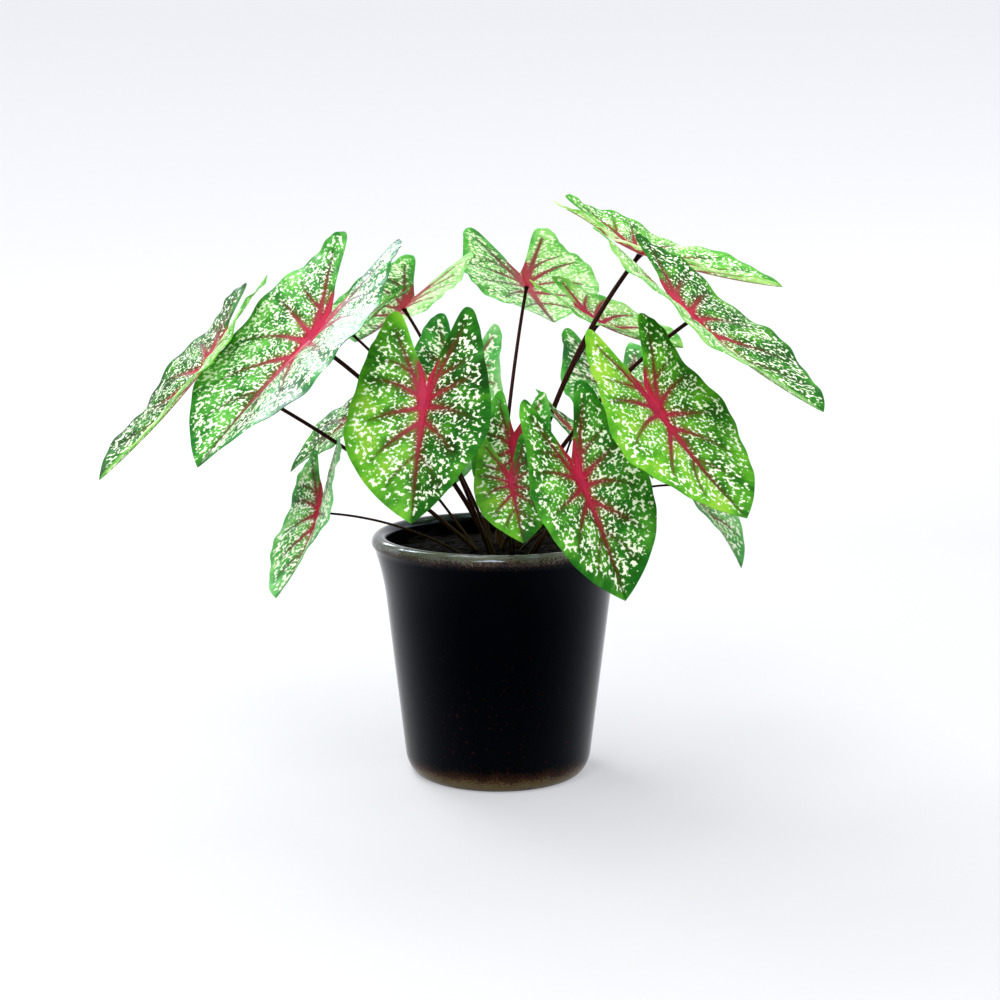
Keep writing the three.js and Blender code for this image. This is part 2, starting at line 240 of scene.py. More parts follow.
def glazed_stoneware():
    """Fired stoneware under a blue-black glaze: a wet, slightly rippled gloss, brighter edge on.

    It thins to olive at the lip and foot, through a ragged line of rust brown freckles drawn
    1 mm across so that they show, and carries a few rust specks up to 2 mm across low on the
    wall. Inside the lip it is plain black. The lowest 2 mm of the foot are darkened with painted
    shade, a contact shadow where the pot stands on the table.
    """
    material, tree, out = new_material("blue_black_glazed_stoneware")
    place = add_node(tree, "TexCoord").outputs["Object"]
    height = add_node(tree, "SeparateXYZ", {0: place}).outputs[2]
    grit = add_node(tree, "TexNoise", {
        "Vector": place, "Scale": 900.0, "Detail": 2.0, "Roughness": 0.7})
    drift = add_node(tree, "TexNoise", {"Vector": place, "Scale": 70.0, "Detail": 2.0})
    ragged = add_node(tree, "Math", {
        0: grit.outputs[0], 1: 0.012, 2: height}, operation="MULTIPLY_ADD")
    ragged = add_node(tree, "Math", {
        0: drift.outputs[0], 1: 0.006, 2: ragged.outputs[0]}, operation="MULTIPLY_ADD")
    share = add_node(tree, "MapRange", {
        0: ragged.outputs[0], 1: 0.0, 2: POT_HEIGHT + 0.022, 3: 0.0, 4: 1.0})
    band = add_node(tree, "ValToRGB", {0: share.outputs[0]})
    # The first stop is painted shade: the lowest 2 mm of the foot, tucked under onto the table,
    # darkens as a painted contact shadow.
    set_stops(band, [
        (0.05, "#15110A"), (0.062, "#5C5138"), (0.085, "#574A31"), (0.105, "#2B1A10"),
        (0.135, "#040507"), (0.5, "#010204"), (0.880, "#020305"), (0.893, "#2A1C14"),
        (0.904, "#4A3A2C"), (0.913, "#66685C"), (1.0, "#6A6D62")])
    across = add_node(tree, "VectorMath", {0: place, 1: (1.0, 1.0, 0.0)}, operation="MULTIPLY")
    across = add_node(tree, "VectorMath", {0: across.outputs[0]}, operation="LENGTH")
    inside = add_node(tree, "MapRange", {
        0: across.outputs["Value"], 1: 0.0765, 2: 0.0735, 3: 0.0, 4: 0.97})
    near_top = add_node(tree, "MapRange", {0: height, 1: 0.130, 2: 0.140, 3: 0.0, 4: 1.0})
    inside = add_node(tree, "Math", {
        0: inside.outputs[0], 1: near_top.outputs[0]}, operation="MULTIPLY")
    band = add_node(tree, "Mix", {
        0: inside.outputs[0], 6: band.outputs[0], 7: linear("#030404")}, data_type="RGBA")
    speck = add_node(tree, "TexNoise", {"Vector": place, "Scale": 420.0, "Detail": 1.0})
    speck = add_node(tree, "MapRange", {0: speck.outputs[0], 1: 0.66, 2: 0.74, 3: 0.0, 4: 0.35})
    low = add_node(tree, "MapRange", {0: height, 1: 0.110, 2: 0.03, 3: 0.0, 4: 1.0})
    speck = add_node(tree, "Math", {0: speck.outputs[0], 1: low.outputs[0]}, operation="MULTIPLY")
    colour = add_node(tree, "Mix", {
        0: speck.outputs[0], 6: band.outputs[2], 7: linear("#3A0F0C")}, data_type="RGBA")
    facing = add_node(tree, "LayerWeight", {"Blend": 0.5}).outputs["Facing"]
    shine = add_node(tree, "MapRange", {0: facing, 1: 0.10, 2: 0.6, 3: 0.003, 4: 0.125})
    on_lip = add_node(tree, "MapRange", {0: height, 1: 0.147, 2: 0.152, 3: 0.0, 4: 0.6})
    shine = add_node(tree, "Math", {0: shine.outputs[0], 1: on_lip.outputs[0]}, operation="MAXIMUM")
    ripple = add_node(tree, "TexNoise", {"Vector": place, "Scale": 60.0, "Detail": 1.0})
    bump = add_node(tree, "Bump", {"Height": ripple.outputs[0], "Strength": 0.08, "Distance": 0.001})
    shader = add_node(tree, "BsdfPrincipled", {
        "Base Color": colour.outputs[2], "Roughness": 0.12, "IOR": 1.5,
        "Specular IOR Level": shine.outputs[0], "Specular Tint": linear("#CFE1FF"),
        "Normal": bump.outputs[0]})
    tree.links.new(shader.outputs[0], out.inputs[0])
    return material


# The profile runs up the outside, over the lip, and down the inside to the floor.
outer_height = np.concatenate([np.linspace(0, FOOT_HEIGHT, 16), np.linspace(*WALL_ENDS, 60)])
lip_turn = np.linspace(LIP_START, math.pi, 28)
lip_radius = RIM_RADIUS - LIP_RADIUS + LIP_RADIUS * np.cos(lip_turn)
lip_height = POT_HEIGHT - LIP_RADIUS + LIP_RADIUS * np.sin(lip_turn)
inner_height = np.linspace(*INSIDE_ENDS, 40)
floor_radius = inner_radius(inner_height[-1]) - FLOOR_CORNER
pot_profile = np.concatenate([
    pot_radius(outer_height), lip_radius, inner_radius(inner_height), [floor_radius]])
pot_heights = np.concatenate([outer_height, lip_height, inner_height, [POT_FLOOR]])
pot = piece("glazed_pot", *turned(pot_profile, pot_heights, POT_SIDES), glazed_stoneware())
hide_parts("pot")
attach(pot, "root")


# ---------------------------------------------------------------- soil
# Dark peat potting mix, filled to 13 mm below the lip and crumbled by watering. Its body
# follows the inside of the pot; the top is heaped a little round the plant.
SOIL_LEVEL = 0.141
SOIL_CROWN = 0.002
SOIL_GAP = 0.0003
SOIL_SIDES = 200
TOP_RINGS = 96
CRUMB_REACH = 0.069

# The widths of the crumbs and how many there are of each.
CRUMB_SIZES = ((0.0055, 170), (0.0032, 520), (0.0019, 1100))


def crumbs(x, y, seed):
    """Heights of loose crumbs, which lie at seeded points, each with a width w and a height h.

    Round each it is h times the root of 1 - (distance/w)^2, and the highest crumb wins.
    """
    rng = np.random.default_rng(seed)
    height = np.zeros_like(x)
    for width, count in CRUMB_SIZES:
        reach = CRUMB_REACH * np.sqrt(rng.random(count))
        angle = 2 * math.pi * rng.random(count)
        size = width * rng.uniform(0.6, 1.1, count)
        tall = size * rng.uniform(0.2, 0.5, count)
        for cx, cy, w, h in zip(reach * np.cos(angle), reach * np.sin(angle), size, tall):
            near = 1 - ((x - cx) ** 2 + (y - cy) ** 2) / w ** 2
            height = np.maximum(height, h * np.sqrt(np.maximum(near, 0)))
    return height


def potting_soil():
    """Damp peat and fine bark: nearly black and matt, in grains of 2 mm, a few of them paler."""
    material, tree, out = new_material("damp_peat_potting_soil")
    place = add_node(tree, "TexCoord").outputs["Object"]
    grains = add_node(tree, "TexVoronoi", {"Vector": place, "Scale": 550.0, "Randomness": 1.0})
    mixed = add_node(tree, "TexNoise", {"Vector": place, "Scale": 160.0, "Detail": 3.0})
    shade = add_node(tree, "Mix", {
        0: mixed.outputs[0], 6: linear("#010101"), 7: linear("#0A0704")}, data_type="RGBA")
    pale = add_node(tree, "SeparateColor", {0: grains.outputs["Color"]})
    pale = add_node(tree, "MapRange", {0: pale.outputs[0], 1: 0.95, 2: 0.97, 3: 0.0, 4: 0.3})
    colour = add_node(tree, "Mix", {
        0: pale.outputs[0], 6: shade.outputs[2], 7: linear("#4A3B2A")}, data_type="RGBA")
    bump = add_node(tree, "Bump", {
        "Height": grains.outputs["Distance"], "Strength": 0.6, "Distance": 0.001})
    shader = add_node(tree, "BsdfPrincipled", {
        "Base Color": colour.outputs[2], "Roughness": 0.9, "Specular IOR Level": 0.02,
        "Normal": bump.outputs[0]})
    tree.links.new(shader.outputs[0], out.inputs[0])
    return material


# The profile runs out over the floor, up beside the wall, and in over the crumbled top.
wall_height = np.array([
    POT_FLOOR + SOIL_GAP, 0.0143, 0.024, 0.047, 0.070, 0.092, 0.115, 0.130, SOIL_LEVEL - 0.001])
wall_radius = inner_radius(wall_height) - SOIL_GAP
wall_radius[0] -= FLOOR_CORNER
top_radius = np.linspace(wall_radius[-1] - 0.0006, 0.0008, TOP_RINGS)
top_height = SOIL_LEVEL + SOIL_CROWN * (1 - (top_radius / top_radius[0]) ** 2) - 0.0004
soil_profile = np.concatenate([wall_radius, top_radius])
soil_heights = np.concatenate([wall_height, top_height])
soil_points, soil_faces = turned(soil_profile, soil_heights, SOIL_SIDES)
on_top = soil_points[:, 2] > SOIL_LEVEL - 0.0008
soil_points[on_top, 2] += crumbs(soil_points[on_top, 0], soil_points[on_top, 1], 7)
soil = piece("potting_soil", soil_points, soil_faces, potting_soil())
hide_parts("soil")
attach(soil, "root")


# ---------------------------------------------------------------- tuber
# The flattened round tuber that every leaf grows from, buried 10 mm deep. It keeps its CAD
# solid and gets a corky brown skin with darker rings.

def corky_skin():
    """Dry brown cork in flakes of 2 mm, darker in the rings where old leaves stood."""
    material, tree, out = new_material("corky_tuber_skin")
    place = add_node(tree, "TexCoord").outputs["Object"]
    flakes = add_node(tree, "TexVoronoi", {"Vector": place, "Scale": 500.0})
    rings = add_node(tree, "TexWave", {
        "Vector": place, "Scale": 60.0, "Distortion": 3.0}, wave_type="BANDS", bands_direction="Z")
    skin = add_node(tree, "Mix", {
        0: rings.outputs[1], 6: linear("#3A2719"), 7: linear("#7A5A3C")}, data_type="RGBA")
    bump = add_node(tree, "Bump", {
        "Height": flakes.outputs["Distance"], "Strength": 0.5, "Distance": 0.001})
    shader = add_node(tree, "BsdfPrincipled", {
        "Base Color": skin.outputs[2], "Roughness": 0.9, "Normal": bump.outputs[0]})
    tree.links.new(shader.outputs[0], out.inputs[0])
    return material


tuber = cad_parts["tuber"]
tuber.data.materials.clear()
tuber.data.materials.append(corky_skin())


# ---------------------------------------------------------------- leaves: plan
# Nineteen leaves stand round the tuber. Each has the place of its petiole's top, the way its
# tip points, how far the tip drops, its sideways lean, the length of its front and the shape
# of its blade. Millimetres and degrees; shape factors have no unit.
LEAF_DEFAULTS = dict(
    droop=40, roll=0, fold=18, bend=0.05, lift=0.15, width=1, lobe=1, bow=8, stalk=1.2, waves=3)
LEAF_PLAN = {
    "far_left": dict(
        at=(-181.5, -19, 261), azimuth=212.5, droop=49, roll=13, front=93.5, fold=15.5,
        bend=-0.1, lift=0.01, width=0.98, lobe=0.85, root=(3, -6), bow=9, stalk=1.3),
    "high_left": dict(
        at=(-112, -62, 281.5), azimuth=216, droop=39.5, roll=-4, front=102,
        bend=0.06, lift=0.19, width=1.03, lobe=0.87, root=(4, -13), bow=17, stalk=1.5),
    "front_left": dict(
        at=(-43, -92, 246), azimuth=256, droop=60, roll=10, front=71,
        bend=0.08, lift=0.05, width=1.18, root=(0, -17)),
    "back_left": dict(
        at=(-62, 53.5, 292.5), azimuth=121, droop=28, roll=-0.5, front=74, fold=24.5,
        bend=-0.11, lift=0, width=1.07, lobe=1.03, root=(-3, 11), bow=17),
    "left": dict(
        at=(-92, -12, 282), azimuth=188, droop=26, front=55, fold=15,
        bend=0.13, root=(0, 6), bow=17, stalk=1),
    "low_left": dict(
        at=(-89, 33.5, 227), azimuth=177.5, droop=38, roll=-12.5, front=60.5, fold=13.5,
        lift=0.21, width=1.04, root=(-5, 6), bow=7, stalk=0.9),
    "hanging_left": dict(
        at=(-108, -65.5, 178), azimuth=249.5, droop=56, roll=39.5, front=59.5, fold=20.5,
        bend=-0.21, lift=0.01, width=1.02, lobe=0.92, root=(-5, -4), bow=16, stalk=0.8),
    "inner_left": dict(
        at=(-27, 24, 238.5), azimuth=211.5, droop=73, roll=-23.5, front=62, fold=24,
        bend=0.22, lift=0, width=1.31, lobe=0.97, root=(5, 6)),
    "back": dict(
        at=(19.5, 122, 303), azimuth=75.5, droop=23, front=89,
        bend=-0.04, lift=0.11, width=0.94, lobe=1.01, root=(-2, 16), bow=14, stalk=1.3),
    "back_right": dict(
        at=(66, 65.5, 281.5), azimuth=-26, droop=24, roll=1, front=59.5, fold=22,
        bend=-0.19, lift=0.07, width=1.12, lobe=1.03, root=(3, 11), bow=14, stalk=1),
    "high_right": dict(
        at=(91, 29, 329), azimuth=-10.5, droop=20, roll=3, front=90,
        bend=-0.12, width=0.97, lobe=0.84, root=(11, 4), bow=18, stalk=1.7),
    "right": dict(
        at=(113, -88, 296), azimuth=-39, droop=36, roll=-8, front=97,
        bend=-0.12, lift=0, width=0.93, lobe=0.95, root=(-4, 1), bow=16, stalk=1.4),
    "front_right": dict(
        at=(91, -124.5, 246), azimuth=-35, droop=49.5, roll=14, front=78.5, fold=11,
        bend=-0.11, lift=0.17, lobe=0.89, root=(11, -5), stalk=1.3),
    "front_low": dict(
        at=(48, -120.5, 204), azimuth=-35.5, droop=61, roll=32.5, front=69.5, fold=23.5,
        bend=0.15, lift=0.13, width=0.97, lobe=0.98, root=(13, -17)),
    "small_front": dict(
        at=(8, -78, 197), azimuth=-74.5, droop=47.5, roll=6, front=39, fold=8,
        bend=0.06, width=1.04, root=(11, -10), bow=-17, stalk=0.8),
    "small_behind": dict(
        at=(9, -50.5, 214.5), azimuth=-85.5, droop=79, roll=-19, front=44, fold=11,
        lift=0.45, width=1.1, lobe=0.94, root=(7, -9), stalk=0.8),
    "small_right": dict(
        at=(47, -9.5, 219.5), azimuth=3, droop=31.5, roll=9.5, front=34.5, fold=10,
        bend=0.13, lift=0.26, width=1.03, lobe=1.19, root=(19, 4), bow=2, stalk=0.8),
    "inner_right": dict(
        at=(84.5, 85, 224.5), azimuth=-74, droop=30.5, roll=-15.5, front=71, fold=17.5,
        bend=0.07, lift=0.04, width=1.29, lobe=1.22, root=(9, 10)),
    "low_right": dict(
        at=(111, -35, 190), azimuth=-31, droop=32, roll=-9.5, front=61.5, fold=21,
        bend=0.27, lift=0.22, width=1.02, root=(2, 1), bow=26, stalk=0.8),
}
leaves = {name: LEAF_DEFAULTS | plan for name, plan in LEAF_PLAN.items()}
for number, (name, leaf) in enumerate(leaves.items()):
    leaf["name"] = name
    leaf["number"] = number
    leaf["phase"] = 1.7 * number


def leaf_turn(leaf):
    """Rotation of a blade: its lean about X, then its droop about Y, then its heading about Z."""
    heading, droop, lean = np.radians([leaf["azimuth"], leaf["droop"], leaf["roll"]])
    about_z = np.array([
        [math.cos(heading), -math.sin(heading), 0],
        [math.sin(heading), math.cos(heading), 0],
        [0, 0, 1]])
    about_y = np.array([
        [math.cos(droop), 0, math.sin(droop)],
        [0, 1, 0],
        [-math.sin(droop), 0, math.cos(droop)]])
    about_x = np.array([
        [1, 0, 0],
        [0, math.cos(lean), -math.sin(lean)],
        [0, math.sin(lean), math.cos(lean)]])
    return about_z @ about_y @ about_x


def bezier(ends_and_handles, t):
    """Cubic curve: four points weighted by (1-t)^3, 3t(1-t)^2, 3t^2(1-t) and t^3."""
    p = np.asarray(ends_and_handles, float)
    t = np.asarray(t, float)[..., None]
    s = 1 - t
    return s ** 3 * p[0] + 3 * t * s ** 2 * p[1] + 3 * t ** 2 * s * p[2] + t ** 3 * p[3]


# ---------------------------------------------------------------- petioles
# One round, solid stalk below each leaf, smooth and dark maroon, thickest at the foot where it
# leaves the tuber, and flared a little where it meets the under face of the blade.

# Millimetres, apart from the depth of a furrow, which is a part of the leaf's front.
TUBER_RADIUS = 30
TUBER_HEIGHT = 30
TUBER_TOP = 131
ROOTED = 3
BLADE_THICKNESS = 0.5
JOINT_GAP = 0.1
FURROW = 0.02
SWELLING = 0.8
SWELLING_LENGTH = 4
PETIOLE_SIDES = 16
PETIOLE_RINGS = 70


def petiole_line(leaf, t):
    """Centre line: a cubic curve in one upright plane, from 3 mm inside the tuber to the blade.

    It leaves steeper than its chord by the bow angle and arrives flatter by as much, with both
    handles a third of the chord long.
    """
    x, y = leaf["root"]
    depth = TUBER_HEIGHT / 2 * (1 - math.sqrt(1 - (x * x + y * y) / TUBER_RADIUS ** 2))
    foot = np.array([x, y, TUBER_TOP - depth - ROOTED])
    top = np.array(leaf["at"], float)
    span = top - foot
    level = math.hypot(span[0], span[1])
    outward = np.array([span[0], span[1], 0]) / level
    slope = math.atan2(span[2], level)
    bow = math.radians(leaf["bow"])
    third = np.linalg.norm(span) / 3
    leave, arrive = [
        outward * math.cos(a) + np.array([0, 0, math.sin(a)]) for a in (slope + bow, slope - bow)]
    return bezier([foot, foot + third * leave, top - third * arrive, top], t)


def petiole_surface(leaf):
    """A circle carried along the centre line, whose radius falls from 1.1 to 0.85 of the stalk's.

    It swells by 0.8 mm in the last 4 mm, and is cut off just under the blade: each point past
    that plane slides back along the line's end onto it.
    """
    t = np.linspace(0, 1, PETIOLE_RINGS)
    line = petiole_line(leaf, t)
    along = np.gradient(line, axis=0)
    along /= np.linalg.norm(along, axis=1)[:, None]
    across = np.cross(along, np.cross(line[-1] - line[0], [0, 0, 1.0]))
    across /= np.linalg.norm(across, axis=1)[:, None]
    third = np.cross(along, across)
    left = np.linalg.norm(line - line[-1], axis=1)
    radius = leaf["stalk"] * (1.1 - 0.25 * t) + SWELLING * np.exp(-(left / SWELLING_LENGTH) ** 2)
    turn = np.linspace(0, 2 * math.pi, PETIOLE_SIDES, endpoint=False)
    around = (np.cos(turn)[None, :, None] * across[:, None]
              + np.sin(turn)[None, :, None] * third[:, None])
    points = line[:, None] + radius[:, None, None] * around
    up = leaf_turn(leaf)[:, 2]
    clear = BLADE_THICKNESS + JOINT_GAP + FURROW * leaf["front"]
    over = np.maximum((points - line[-1]) @ up + clear, 0)
    lean = max(float(along[-1] @ up), 0.25)
    points = points - (over / lean)[..., None] * along[-1]
    return points.reshape(-1, 3) / 1000


def petiole_faces():
    """The tube's cells, and one many-sided face across each end."""
    tube = grid_faces(PETIOLE_RINGS, PETIOLE_SIDES, closed=True).tolist()
    ring = list(range(PETIOLE_SIDES))
    last = (PETIOLE_RINGS - 1) * PETIOLE_SIDES
    return np.array(tube + [ring[::-1], [last + i for i in ring]], dtype=object)


def maroon_stalk():
    """Living stalk tissue: dark maroon with a soft shine, turning olive brown towards the soil.

    Its streaks are 1 mm wide and 9 mm long.
    """
    material, tree, out = new_material("maroon_petiole_tissue")
    place = add_node(tree, "TexCoord").outputs["Object"]
    height = add_node(tree, "SeparateXYZ", {0: place}).outputs[2]
    stretch = add_node(tree, "Mapping", {0: place, 3: (1.0, 1.0, 0.12)})
    streaks = add_node(tree, "TexNoise", {
        "Vector": stretch.outputs[0], "Scale": 900.0, "Detail": 2.0})
    upper = add_node(tree, "Mix", {
        0: streaks.outputs[0], 6: linear("#100403"), 7: linear("#34130C")}, data_type="RGBA")
    lower = add_node(tree, "Mix", {
        0: streaks.outputs[0], 6: linear("#140C05"), 7: linear("#56431F")}, data_type="RGBA")
    rise = add_node(tree, "MapRange", {0: height, 1: 0.142, 2: 0.180, 3: 0.0, 4: 1.0})
    colour = add_node(tree, "Mix", {
        0: rise.outputs[0], 6: lower.outputs[2], 7: upper.outputs[2]}, data_type="RGBA")
    bump = add_node(tree, "Bump", {
        "Height": streaks.outputs[0], "Strength": 0.15, "Distance": 0.0005})
    shader = add_node(tree, "BsdfPrincipled", {
        "Base Color": colour.outputs[2], "Roughness": 0.45, "IOR": 1.42, "Specular IOR Level": 0.06,
        "Normal": bump.outputs[0]})
    tree.links.new(shader.outputs[0], out.inputs[0])
    return material


stalk_material = maroon_stalk()
for name, leaf in leaves.items():
    stalk = piece(f"stalk_{name}", petiole_surface(leaf), petiole_faces(), stalk_material)
    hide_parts(f"petiole_{name}")
    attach(stalk, "root")


# ---------------------------------------------------------------- leaf blades
# Thin arrow-shaped living blades, each grown on its petiole near the middle. A blade has two
# basal lobes with a narrow sinus between them, folds up a little from its midrib, waves at
# its margin, is furrowed along its crimson veins, and is quilted between them.

# Outline and veins of the right half of a flat blade, in parts of the front's length.
LOBE_END = (-0.81, 0.28)
WAIST = (-0.42, 0.46)
WIDEST = (0.12, 0.575)
TIP = (1.0, 0.0)
SINUS = (-0.24, 0.0)
LOBE_MARGIN = (LOBE_END, (-0.8, 0.38), (-0.66, 0.39), WAIST)
SIDE_MARGIN = (WAIST, (-0.26, 0.505), (-0.08, 0.575), WIDEST)
FRONT_MARGIN = (WIDEST, (0.42, 0.6), (0.8, 0.36), TIP)
SINUS_EDGE = (LOBE_END, (-0.80, 0.205), (-0.52, 0.16), SINUS)
AT_SINUS = 0.36
AT_WIDEST = 0.56
LOBE_ROWS, SIDE_ROWS, FRONT_ROWS = 44, 24, 54
BLADE_COLUMNS = 34

# Heights of the surface, width of a furrow's slope, distance over which the lobe's lift sets
# in, sway of the side veins, and centre of their fan, in parts of the front's length too.
ARCH = 0.25
MARGIN_WAVE = 0.028
MARGIN_FRILL = 0.008
QUILTING = 0.0025
FURROW_SLOPE = 0.05
LIFT_EASE = 0.15
SWAY = 0.025
STAR_RADIUS = 0.055
FAN_CENTRE = (-0.05, -0.50)
FAN_SCALE = 0.7

# Radians that the frill turns through along the margin, and the ribs for each unit of flow.
FRILL_TURN = 64
RIB_TURN = 52

# Each vein: its curve, its half width where it starts and where it ends, and its colour at
# both, from 0, maroon, through 0.2, crimson, to 1, green. The first is the midrib, the second
# runs out into the lobe, the third webs the sinus, and the others are side veins.
VEINS = [
    (((0.0, 0.0), (0.3, 0.0), (0.6, 0.0), (0.97, 0.0)), 0.030, 0.004, 0.2, 1.0),
    (((0.02, 0.0), (-0.20, 0.06), (-0.38, 0.16), (-0.66, 0.28)), 0.026, 0.003, 0.2, 0.95),
    (((0.0, 0.0), (-0.10, 0.01), (-0.22, 0.02), (-0.36, 0.07)), 0.055, 0.012, 0.05, 0.4),
    (((-0.04, 0.01), (-0.12, 0.14), (-0.18, 0.28), (-0.20, 0.44)), 0.019, 0.003, 0.25, 1.0),
    (((0.02, 0.0), (0.04, 0.12), (0.08, 0.28), (0.17, 0.43)), 0.019, 0.003, 0.25, 1.0),
    (((0.14, 0.0), (0.22, 0.10), (0.34, 0.23), (0.50, 0.33)), 0.019, 0.003, 0.3, 1.0),
    (((-0.24, 0.09), (-0.30, 0.18), (-0.34, 0.27), (-0.37, 0.35)), 0.010, 0.003, 0.5, 1.0),
    (((0.42, 0.0), (0.50, 0.08), (0.60, 0.16), (0.72, 0.20)), 0.006, 0.002, 0.7, 1.0),
]


def row_ends(t):
    """Both ends of row t of the flat half blade: on the sinus or the midrib, and on the margin.

    Rows up to AT_SINUS cross the lobe, those up to AT_WIDEST the side, and the rest the front.
    Each end moves along its own cubic curve.
    """
    lobe = np.clip(t / AT_SINUS, 0, 1)
    side = np.clip((t - AT_SINUS) / (AT_WIDEST - AT_SINUS), 0, 1)
    front = np.clip((t - AT_WIDEST) / (1 - AT_WIDEST), 0, 1)
    forward = np.clip((t - AT_SINUS) / (1 - AT_SINUS), 0, 1)
    midrib = np.stack([SINUS[0] + (1 - SINUS[0]) * forward, 0 * forward], -1)
    inner = np.where((t < AT_SINUS)[:, None], bezier(SINUS_EDGE, lobe), midrib)
    margin = np.where((t < AT_SINUS)[:, None], bezier(LOBE_MARGIN, lobe), bezier(SIDE_MARGIN, side))
    return inner, np.where((t > AT_WIDEST)[:, None], bezier(FRONT_MARGIN, front), margin)


def nearest_vein(flat, sway):
    """Distance of each flat point to the nearest vein's edge, and how green that vein has turned.

    The distance is negative inside the vein. The half width falls with (1 - t)^1.3 along each
    vein, all but the midrib sway by half a sine, and a round star joins them at the petiole.
    """
    best = np.full(len(flat), 9.0)
    reach = np.zeros(len(flat))
    steps = np.linspace(0, 1, 90)
    for number, (curve, wide, fine, red, green) in enumerate(VEINS):
        bent = SWAY * math.sin(sway + 2.1 * number) * np.sin(math.pi * steps) * (number > 0)
        line = bezier(curve, steps) + bent[:, None] * [1, 0.3]
        away = np.linalg.norm(flat[:, None] - line[None], axis=2)
        width = fine + (wide - fine) * (1 - steps) ** 1.3
        edge = away - width[None]
        index = edge.argmin(1)
        found = edge[np.arange(len(flat)), index]
        closer = found < best
        best = np.where(closer, found, best)
        reach = np.where(closer, red + (green - red) * steps[index], reach)
    star = np.linalg.norm(flat, axis=1) - STAR_RADIUS
    return np.minimum(best, star), np.where(star < best, 0.1, reach)


def vein_flow(flat):
    """Coordinates along and across the side veins, which fan out from a point beyond the midrib.

    They are 0.7 times the logarithm of the distance to that point, and 0.7 times the angle
    round it.
    """
    x = flat[:, 0] - FAN_CENTRE[0]
    y = flat[:, 1] - FAN_CENTRE[1]
    return np.stack([FAN_SCALE * np.log(np.hypot(x, y)), FAN_SCALE * np.arctan2(x, y)], -1)


def half_blade(leaf, side):
    """Points of one half's upper face and the values that its pattern follows.

    Height is breadth times the sine of the fold, less the arch times breadth squared, less the
    bend times the square of the distance in front of the petiole, plus the lift times
    b^2/(b + 0.15) at a distance b behind it. Waves and frills grow towards the margin, veins
    are furrowed and the tissue between them is quilted.
    """
    t = np.concatenate([
        np.linspace(0, AT_SINUS, LOBE_ROWS, endpoint=False),
        np.linspace(AT_SINUS, AT_WIDEST, SIDE_ROWS, endpoint=False),
        np.linspace(AT_WIDEST, 1, FRONT_ROWS)])
    across = np.linspace(0, 1, BLADE_COLUMNS)
    inner, margin = row_ends(t)
    flat = inner[:, None] + (margin - inner)[:, None] * across[None, :, None]
    rows = np.repeat(t[:, None], BLADE_COLUMNS, 1).ravel()
    spread = np.tile(across, len(t))
    flat = flat.reshape(-1, 2)
    x = np.where(flat[:, 0] < 0, flat[:, 0] * leaf["lobe"], flat[:, 0])
    breadth = flat[:, 1] * leaf["width"]
    behind = np.maximum(-x, 0)
    fold = math.radians(leaf["fold"])
    calm_ends = np.sin(math.pi * rows)
    wave = calm_ends * np.sin(2 * math.pi * leaf["waves"] * rows + leaf["phase"] + 2 * side)
    frill = calm_ends * np.sin(FRILL_TURN * rows + 2 * leaf["phase"] + side)
    vein, reach = nearest_vein(flat, 3.0 * leaf["number"] + 1.5 * side)
    flow = vein_flow(flat)
    furrow = FURROW * np.exp(-np.maximum(vein, 0) / FURROW_SLOPE) * (1 - 0.7 * reach)
    off_midrib = np.sin(math.pi * spread) * np.minimum(1, flat[:, 1] / 0.1)
    ribs = QUILTING * np.sin(RIB_TURN * flow[:, 1] + leaf["phase"]) * off_midrib
    height = (breadth * math.sin(fold) - ARCH * breadth ** 2
              - np.where(x > 0, leaf["bend"] * x ** 2, 0)
              + leaf["lift"] * behind ** 2 / (behind + LIFT_EASE)
              + MARGIN_WAVE * spread ** 2 * wave + MARGIN_FRILL * spread ** 3 * frill
              - furrow + ribs)
    local = np.stack([x, side * breadth * math.cos(fold), height], -1) * leaf["front"]
    outline = np.vstack([margin, inner[t < AT_SINUS]])
    to_margin = np.linalg.norm(flat[:, None] - outline[None], axis=2).min(1)
    shift = 5.0 * leaf["number"] + (2.5 if side > 0 else 0)
    half = 0 if side > 0 else 1
    # Each half's green and bluish values, partly painted light, shade and sheen.
    tints_and_light = GREENS_AND_PAINTED_LIGHT[leaf["name"]][half::2]
    return dict(
        local=local, rows=len(t), reach=reach,
        green=np.full(len(local), tints_and_light[0]), cool_and_sheen=np.full(len(local), tints_and_light[1]),
        flat=flat * [1, side] * leaf["front"], flow=(flow + [shift, 0]) * leaf["front"],
        vein=vein * leaf["front"], margin=to_margin * leaf["front"])


